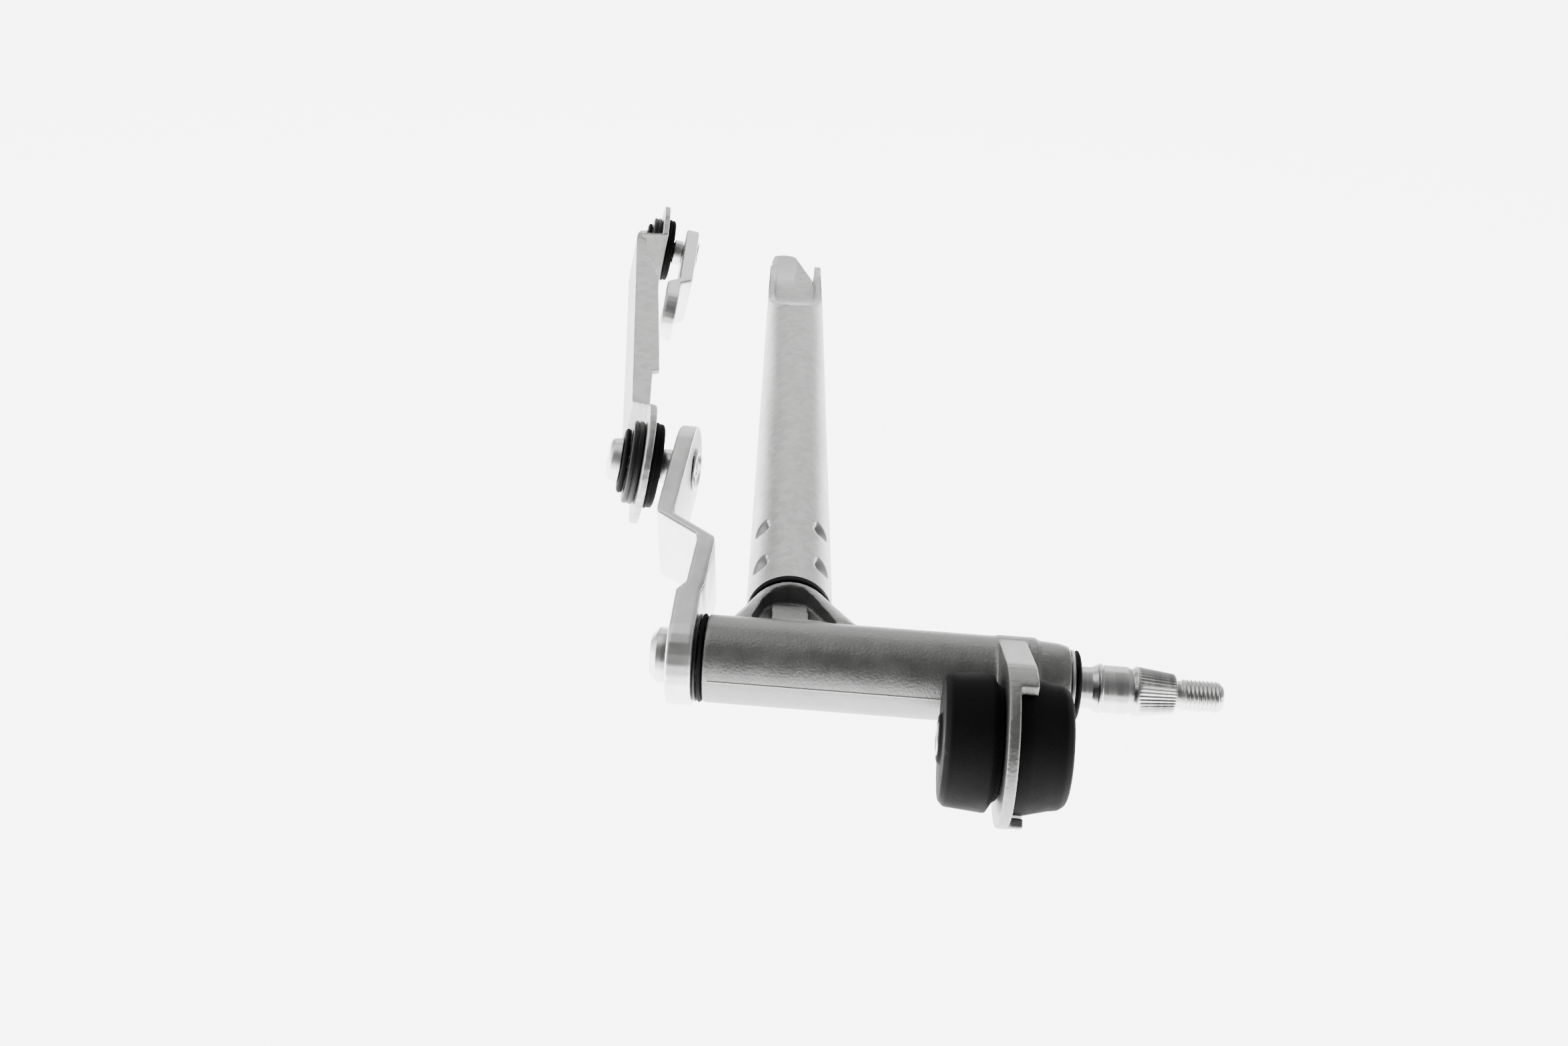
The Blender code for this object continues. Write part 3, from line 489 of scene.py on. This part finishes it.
def grommet():
    """The rubber bush in the lug, with a lip at its rear and soft shoulders, and its steel sleeve."""
    place = Matrix.Translation(LUG_AT) @ SPINDLE
    hole, outer, neck = 4.25, 16.3, 11.6
    profile = [
        (hole, -70.6), (hole + 1.2, -70.6), (hole + 1.8, -69.7), (outer - 2.1, -69.7),
        (outer - 0.8, -68.4), (outer, -58.9), (outer - 2.6, -57.3), (neck + 1.6, -56.3),
        (neck, -56.3), (neck, -53.0), (outer - 0.1, -53.0), (outer - 0.1, -50.2), (outer - 1.6, -44.3),
        (outer - 1.9, -42.2), (outer - 2.9, -40.8), (outer - 4.0, -40.3), (hole + 3.2, -40.3),
        (hole + 2.9, -41.1), (hole + 2.4, -41.1), (hole + 2.1, -40.7), (hole, -40.7),
    ]
    profile = rounded([(r * MM, z * MM) for r, z in profile], 0.5 * MM)
    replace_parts(piece("grommet_looks", turned(profile, 128), "mount_grommet", place), "mount_grommet")
    low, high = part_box("grommet_sleeve")
    ring("sleeve_looks", "grommet_sleeve", place, 3.05 * MM, 3.95 * MM, low.x, high.x, 0.3 * MM)


# ---------------------------------------------------------------- frame tube

TUBE_LEAN = math.radians(3.7)
TUBE_AXIS = Vector((-math.sin(TUBE_LEAN), math.cos(TUBE_LEAN), 0))
TUBE_SIDE = Vector((math.cos(TUBE_LEAN), math.sin(TUBE_LEAN), 0))
TUBE_FRAME = Matrix.Translation((-107.5 * MM, 0, 0)) @ Matrix(
    (TUBE_SIDE, Vector((0, 0, -1)), TUBE_AXIS)
).transposed().to_4x4()  # X is the side nearer the thread, Y is down and Z runs along the tube
TUBE_RADIUS = 11.5 * MM
TUBE_WALL = 1.5 * MM
TUBE_START = 25.5 * MM
CREASE_AT = 251.5 * MM
PRESSED_AT = 335.0 * MM
LIP_END = 347.0 * MM
LIP_TOP = -1.3 * MM
TONGUE_END = 388.0 * MM
TONGUE_RADIUS = 5.5 * MM
TONGUE_SIDE = 4.8 * MM
CRIMP_ROWS = (36.6 * MM, 58.3 * MM)
CRIMP_ANGLES = (50, 130, 230, 310)
CRIMP_DEPTH = 2.8 * MM
CRIMP_SPREAD = (7, 24)  # degrees towards the middle of the upper or lower face, and away from it
CRIMP_REACH = (2.6 * MM, 5.6 * MM)  # towards the housing and away from it
TUBE_SEGMENTS = 192


def crimp(at, angle):
    """Depth of the crimping tool's marks: steep towards the housing and towards the middle of the
    tube's upper or lower face, and ramped the other two ways."""
    for row in CRIMP_ROWS:
        for middle in CRIMP_ANGLES:
            apart = (math.degrees(angle) - middle + 180) % 360 - 180
            inward = apart if middle in CRIMP_ANGLES[::2] else -apart
            across = inward / CRIMP_SPREAD[0] if inward > 0 else -inward / CRIMP_SPREAD[1]
            reach = (at - row) / CRIMP_REACH[1] if at > row else (row - at) / CRIMP_REACH[0]
            depth = 1 - math.hypot(reach, across)
            if depth > 0:
                return CRIMP_DEPTH * ease(1.3 * depth)
    return 0.0


def squared(angle, radius):
    """A point of a round-cornered square, at an angle of the circle inside it."""
    x, y = math.cos(angle), math.sin(angle)
    return radius * math.copysign(abs(x) ** 0.45, x), radius * math.copysign(abs(y) ** 0.45, y)


def channel_inside(angle):
    """A point of the pressed channel's lips and floor, for an angle on the tube's upper half."""
    lean = abs(math.sin(angle))
    side = math.copysign(1, math.cos(angle)) if abs(math.cos(angle)) > 1e-6 else 0
    half = TUBE_RADIUS - 2 * TUBE_WALL
    if lean < 0.1:
        return side * TUBE_RADIUS, -LIP_TOP + 0.5 * MM
    if lean < 0.3:
        return side * (TUBE_RADIUS - 0.6 * MM), -LIP_TOP
    first = math.asin(0.38)
    wall = half + LIP_TOP
    passed = (math.asin(lean) - first) / (math.pi / 2 - first) * (half + wall)
    if passed < wall:
        return side * half, -LIP_TOP + max(0.0, passed)
    return side * (half - (passed - wall)), half


def tube_section(at, inset):
    """The tube's outline at one distance along it, starting on its side nearer the thread."""
    pressed = min(1.0, max(0.0, (at - CREASE_AT) / (PRESSED_AT - CREASE_AT)))
    roof = TUBE_RADIUS - pressed * 2 * (TUBE_RADIUS - TUBE_WALL)
    points = []
    for i in range(TUBE_SEGMENTS):
        angle = TURN * i / TUBE_SEGMENTS
        radius = TUBE_RADIUS - inset - crimp(at, angle)
        x, y = radius * math.cos(angle), radius * math.sin(angle)
        if math.sin(angle) > 1e-6:
            weight = pressed
            end_x, end_y = squared(angle, TUBE_RADIUS)
        else:
            weight = pressed * pressed
            end_x, end_y = channel_inside(angle)
            y = max(y, -roof) if pressed else y
        points.append((x + (end_x - x) * weight, y + (end_y - y) * weight, at))
    return points


def steps_between(start, end, step):
    """Even steps from start to just before end, no longer than step."""
    count = math.ceil((end - start) / step)
    return [start + (end - start) * i / count for i in range(count)]


def tube_shell():
    """The tube's skin, inside and out, before its end is trimmed."""
    outside = [TUBE_START, TUBE_START + 0.25 * MM]
    outside += steps_between(TUBE_START + 0.6 * MM, 72 * MM, 0.4 * MM)
    outside += steps_between(72 * MM, CREASE_AT - 1 * MM, 8 * MM)
    outside += steps_between(CREASE_AT - 1 * MM, CREASE_AT + 3 * MM, 0.3 * MM)
    outside += steps_between(CREASE_AT + 3 * MM, PRESSED_AT, 3 * MM)
    outside += [PRESSED_AT, LIP_END + 4 * MM, TONGUE_END + 5 * MM]
    inside = [TUBE_START, TUBE_START + 0.25 * MM] + steps_between(TUBE_START + 0.6 * MM, CREASE_AT, 1 * MM)
    bm = bmesh.new()
    rows = [[bm.verts.new(p) for p in tube_section(at, TUBE_WALL)] for at in inside[::-1]]
    rows += [[bm.verts.new(p) for p in tube_section(at, 0.0)] for at in outside]
    for first, second in zip(rows, rows[1:]):
        for i in range(TUBE_SEGMENTS):
            j = (i + 1) % TUBE_SEGMENTS
            bm.faces.new((first[i], first[j], second[j], second[i]))
    bm.faces.new(rows[0])
    bm.faces.new(rows[-1])
    return bm


def side_cutter(name, outline, low, high):
    """A prism to cut the tube with: an outline in the tube frame's XZ, from low to high along Y."""
    bm = bmesh.new()
    rows = [[bm.verts.new((x, y, z)) for x, z in outline] for y in (low, high)]
    bm.faces.new(rows[0])
    bm.faces.new(rows[1])
    for i in range(len(outline)):
        j = (i + 1) % len(outline)
        bm.faces.new((rows[0][i], rows[0][j], rows[1][j], rows[1][i]))
    bmesh.ops.transform(bm, matrix=TUBE_FRAME, verts=bm.verts)
    bmesh.ops.recalc_face_normals(bm, faces=bm.faces)
    mesh = bpy.data.meshes.new(name)
    bm.to_mesh(mesh)
    bm.free()
    cutter = bpy.data.objects.new(name, mesh)
    bpy.context.scene.collection.objects.link(cutter)
    return cutter


def arc(centre, radius, start, end, steps):
    """Points of an arc, from one angle in degrees to another."""
    angles = [math.radians(start + (end - start) * i / steps) for i in range(steps + 1)]
    return [(centre[0] + radius * math.cos(a), centre[1] + radius * math.sin(a)) for a in angles]


def tube():
    """The frame tube, with its end trimmed to a lip and a rounded tongue."""
    obj = piece("frame_tube_looks", tube_shell(), "frame_tube", TUBE_FRAME)
    tip = (-TONGUE_SIDE, TONGUE_END - TONGUE_RADIUS)
    lip = TUBE_RADIUS - 2 * TUBE_WALL
    outline = [(14 * MM, LIP_END), (lip, LIP_END)] + arc(tip, TONGUE_RADIUS, 25, 165, 20)
    outline += [(-11 * MM, 374 * MM), (-14 * MM, 365 * MM)]
    outline += [(-14 * MM, TONGUE_END + 20 * MM), (14 * MM, TONGUE_END + 20 * MM)]
    end = TONGUE_END + 9 * MM
    lip_outline = [(-14 * MM, LIP_END), (0, LIP_END), (0, end), (-14 * MM, end)]
    cutters = [side_cutter("end_cut", outline, -20 * MM, 20 * MM)]
    cutters.append(side_cutter("lip_cut", lip_outline, -20 * MM, 8.3 * MM))
    slit = [(x * MM, CREASE_AT + z * MM) for x, z in ((-7.3, 0.5), (-2.6, 0.5), (-2.6, 1.2), (-7.3, 1.2))]
    cutters.append(side_cutter("slit_cut", slit, -20 * MM, -7.0 * MM))
    for cutter in cutters:
        step = obj.modifiers.new(cutter.name, "BOOLEAN")
        step.operation = "DIFFERENCE"
        step.solver = "EXACT"
        step.object = cutter
    soft = obj.modifiers.new("soft", "BEVEL")
    soft.width = 0.3 * MM
    soft.segments = 2
    soft.limit_method = "ANGLE"
    soft.angle_limit = math.radians(55)
    graph = bpy.context.evaluated_depsgraph_get()
    obj.data = bpy.data.meshes.new_from_object(obj.evaluated_get(graph))
    obj.modifiers.clear()
    for cutter in cutters:
        bpy.data.objects.remove(cutter, do_unlink=True)
    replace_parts(obj, "frame_tube")
    ring("spigot_seal_looks", "spigot_seal", TUBE_FRAME, 9.9 * MM, 11.4 * MM, 23.6 * MM, 25.2 * MM, 0.35 * MM)


# ---------------------------------------------------------------- linkage

NEAR_BALL = Vector(JOINTS["rod_swing"]["pos_m"])
FAR_BALL = Vector(JOINTS["crank_turn"]["pos_m"])
ROD_NORMAL = Vector(JOINTS["rod_swing"]["axis"])
CRANK_NORMAL = Vector(JOINTS["crank_turn"]["axis"])
LEVER_AIM = Vector((0, math.cos(math.radians(18.3)), math.sin(math.radians(18.3))))
LEVER_SLOPE = math.radians(2.7)
STUD_NORMAL = Vector((1, 0, 0)) * math.cos(LEVER_SLOPE) - LEVER_AIM * math.sin(LEVER_SLOPE)
NEAR_REACH = 12.5 * MM  # from the ball to the middle of the lever's arm
FAR_REACH = 11.6 * MM


def ball_joint(prefix, ball):
    """Socket, collar, pressed cap and dust seal round one eye of the rod."""
    place = along(ball, ROD_NORMAL)
    socket = [
        (5.3, -4.4), (11.5, -4.4), (11.9, -3.9), (11.9, -3.3), (11.6, -3.1), (11.6, -2.9), (11.9, -2.7),
        (11.9, -1.7), (11.5, -1.3), (8.0, -1.3), (8.0, 1.3), (6.0, 1.3), (5.3, 1.0),
    ]
    socket = rounded([(r * MM, z * MM) for r, z in socket], 0.15 * MM, steps=2)
    name = f"{prefix}_socket"
    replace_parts(piece(f"{name}_looks", turned(socket), name, place), name)
    collar = [(5.3, -6.3), (8.6, -6.3), (9.2, -5.9), (9.2, -5.2), (8.8, -5.0), (9.2, -4.8), (5.3, -4.7)]
    collar = rounded([(r * MM, z * MM) for r, z in collar], 0.15 * MM, steps=2)
    name = f"{prefix}_collar"
    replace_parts(piece(f"{name}_looks", turned(collar), name, place), name)
    cap = [
        (0, -9.3), (0.9, -9.35), (1.5, -10.0), (4.7, -10.0), (5.8, -9.2), (6.2, -7.4), (6.4, -6.9),
        (6.4, -6.6), (4.9, -6.6), (4.5, -7.8), (3.8, -8.2), (0, -8.3),
    ]
    cap = rounded([(r * MM, z * MM) for r, z in cap], 0.5 * MM, closed=False)
    name = f"{prefix}_cap"
    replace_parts(piece(f"{name}_looks", turned(cap), name, place), name)
    seal = [(6.3, 1.6), (12.1, 1.6), (12.35, 1.9), (12.35, 2.6), (11.9, 2.8), (12.1, 3.1), (12.0, 4.0)]
    seal += [(11.2, 4.4), (6.3, 4.4)]
    seal = rounded([(r * MM, z * MM) for r, z in seal], 0.2 * MM, steps=2)
    name = f"{prefix}_dust_seal"
    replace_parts(piece(f"{name}_looks", turned(seal), name, place), name)


def ball_stud(node, origin, normal, reach, plate_half, rivet, neck_end):
    """A stud from its ball, below the plate, to its spun rivet head with a ring mark, above it. Its
    thick collar starts neck_end over the ball."""
    points = [(0, -reach - 4.6 * MM)]
    for i in range(1, 17):
        angle = -math.pi / 2 + math.pi * 0.72 * i / 16
        points.append((4.6 * MM * math.cos(angle), -reach + 4.6 * MM * math.sin(angle)))
    under, over = -plate_half - 0.3 * MM, plate_half + 0.3 * MM
    points += [(2.9 * MM, neck_end - reach - 0.6 * MM), (4.9 * MM, neck_end - reach), (4.9 * MM, under)]
    points += [(3.6 * MM, under), (3.6 * MM, over), (rivet, over), (rivet, over + 0.35 * MM)]
    points += [(rivet - 0.5 * MM, over + 0.7 * MM), (rivet - 1.5 * MM, over + 0.7 * MM)]
    points += [(rivet - 2.1 * MM, over + 0.15 * MM), (2.4 * MM, over + 0.15 * MM)]
    points += [(2.0 * MM, over + 0.6 * MM), (0, over + 0.68 * MM)]
    points = rounded(points, 0.18 * MM, closed=False, steps=3)
    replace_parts(piece(f"{node}_looks", turned(points), node, along(origin, normal)), node)


def linkage():
    """The lever, the rod, its two ball joints and the motor crank."""
    remeshed("crank_lever", 0.35 * MM, 6)
    remeshed("motor_crank", 0.35 * MM, 6)
    remeshed("link_rod", 0.36 * MM, 5)
    ball_joint("near", NEAR_BALL)
    ball_joint("far", FAR_BALL)
    near_stud = NEAR_BALL + STUD_NORMAL * NEAR_REACH
    ball_stud("near_ball_stud", near_stud, STUD_NORMAL, NEAR_REACH, 2.5 * MM, 6.2 * MM, 4.7 * MM)
    far_stud = FAR_BALL + CRANK_NORMAL * FAR_REACH
    ball_stud("far_ball_stud", far_stud, CRANK_NORMAL, FAR_REACH, 2.6 * MM, 5.6 * MM, 5.4 * MM)


# ---------------------------------------------------------------- stage

CAMERA_AT = (-0.0919, -0.3290, 0.2013)
CAMERA_RIGHT = Vector((0.9961, 0.0768, 0.0431))
CAMERA_UP = Vector((-0.0725, 0.4374, 0.8963))
LIGHTS_AIM = (-0.11, 0.12, 0.0)
FLOOR_HALF = 30  # metres
FLOOR_DROP = 300 * MM  # below the part, clear of the rod at its lowest
TABLE_EDGE = (-0.70, -0.36)  # the light table dims from the second to the first of these, along Y
TABLE_GLOW = (2.2, 6.5)  # its emission strength in front and behind


def camera():
    """A view from in front of the barrel and above it, with the tube running away."""
    data = bpy.data.cameras.new("camera")
    data.sensor_width = 36
    data.lens = 35.23
    data.clip_start = 0.01
    eye = bpy.data.objects.new("camera", data)
    turn = Matrix((CAMERA_RIGHT, CAMERA_UP, CAMERA_RIGHT.cross(CAMERA_UP))).transposed().to_4x4()
    eye.matrix_world = Matrix.Translation(CAMERA_AT) @ turn
    bpy.context.scene.collection.objects.link(eye)
    bpy.context.scene.camera = eye


def area_light(name, at, size, power):
    """A square soft light that points at the part."""
    data = bpy.data.lights.new(name, "AREA")
    data.shape = "SQUARE"
    data.size = size
    data.energy = power
    light = bpy.data.objects.new(name, data)
    light.location = at
    light.rotation_euler = (Vector(LIGHTS_AIM) - Vector(at)).to_track_quat("-Z", "Y").to_euler()
    bpy.context.scene.collection.objects.link(light)


def floor():
    """A pale light table well below the part, dimmer in front of it than under and behind it."""
    mesh = bpy.data.meshes.new("floor")
    height = CAD_BOX[0].z - FLOOR_DROP
    bm = bmesh.new()
    corners = ((-1, -1), (1, -1), (1, 1), (-1, 1))
    bm.faces.new([bm.verts.new((FLOOR_HALF * x, FLOOR_HALF * y, height)) for x, y in corners])
    bm.to_mesh(mesh)
    bm.free()
    ground = bpy.data.objects.new("floor", mesh)
    bpy.context.scene.collection.objects.link(ground)
    paper = shader_of("paper", (0.92, 0.92, 0.92), 0.9, 0.0)
    tree = paper.node_tree
    glow = tree.nodes["Principled BSDF"]
    glow.inputs["Emission Color"].default_value = (1, 1, 1, 1)
    place = tree.nodes.new("ShaderNodeTexCoord")
    split = tree.nodes.new("ShaderNodeSeparateXYZ")
    tree.links.new(place.outputs["Object"], split.inputs["Vector"])
    strength = ranged(tree, split.outputs["Y"], *TABLE_EDGE, *TABLE_GLOW)
    tree.links.new(strength, glow.inputs["Emission Strength"])
    grain = ranged(tree, noise(tree, 12), 0.3, 0.7)
    shade = blend(tree, grain, (0.91, 0.91, 0.91), (0.93, 0.93, 0.93))
    tree.links.new(shade, glow.inputs["Base Color"])
    mesh.materials.append(paper)


def studio():
    """The surround: dim in front of the part and brighter behind it, with three soft cards."""
    world = bpy.data.worlds.new("studio")
    world.use_nodes = True
    tree = world.node_tree
    place = tree.nodes.new("ShaderNodeTexCoord")
    split = tree.nodes.new("ShaderNodeSeparateXYZ")
    tree.links.new(place.outputs["Generated"], split.inputs["Vector"])
    strength = ranged(tree, split.outputs["Y"], -0.5, 0.9, 0.18, 0.75)
    tree.links.new(strength, tree.nodes["Background"].inputs["Strength"])
    tree.nodes["Background"].inputs["Color"].default_value = (1, 1, 1, 1)
    bpy.context.scene.world = world
    area_light("back_card", (-0.1, 1.6, 0.95), 1.6, 9)
    area_light("top_card", (-0.6, 0.1, 1.1), 0.8, 2.5)
    area_light("left_card", (-1.5, 0.1, 0.35), 1.2, 8)


spindle()
retaining_clip()
seals()
bushes()
housing()
grommet()
tube()
linkage()
floor()
studio()
camera()
